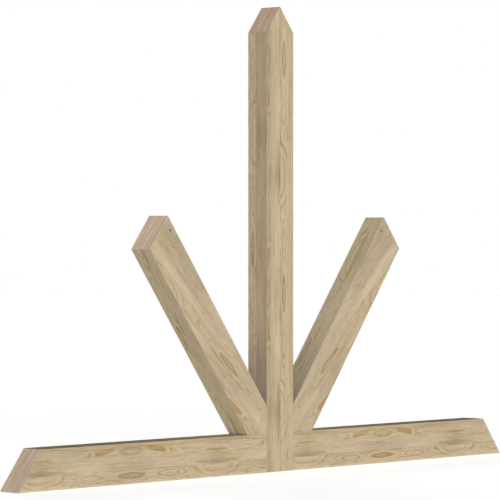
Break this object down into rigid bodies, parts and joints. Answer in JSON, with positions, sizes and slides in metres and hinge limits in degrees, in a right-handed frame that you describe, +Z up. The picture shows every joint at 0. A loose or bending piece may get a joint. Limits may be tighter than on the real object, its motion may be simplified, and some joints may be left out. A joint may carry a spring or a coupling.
{
  "type": "timber gable bracket",
  "caption": "Flush timber gable bracket: pointed king post, split tie beam and leaning struts, all sawn to one roof pitch, made to decorate the peak of a gable.",
  "frame": {"origin": "centre of the underside, below the king post and midway between the front and back faces", "axes": "+X along the tie beam to the right as seen from the front, +Y from the front face to the back face, +Z up the king post"},
  "size_m": [2.7432, 0.1016, 1.8288],
  "materials": {
    "planed_timber": "bare planed softwood, matt, pale straw with ochre and pinkish grain"
  },
  "bodies": {
    "root": {"king_post": "planed_timber", "left_tie": "planed_timber", "right_tie": "planed_timber", "left_strut": "planed_timber", "right_strut": "planed_timber"}
  },
  "joints": []
}
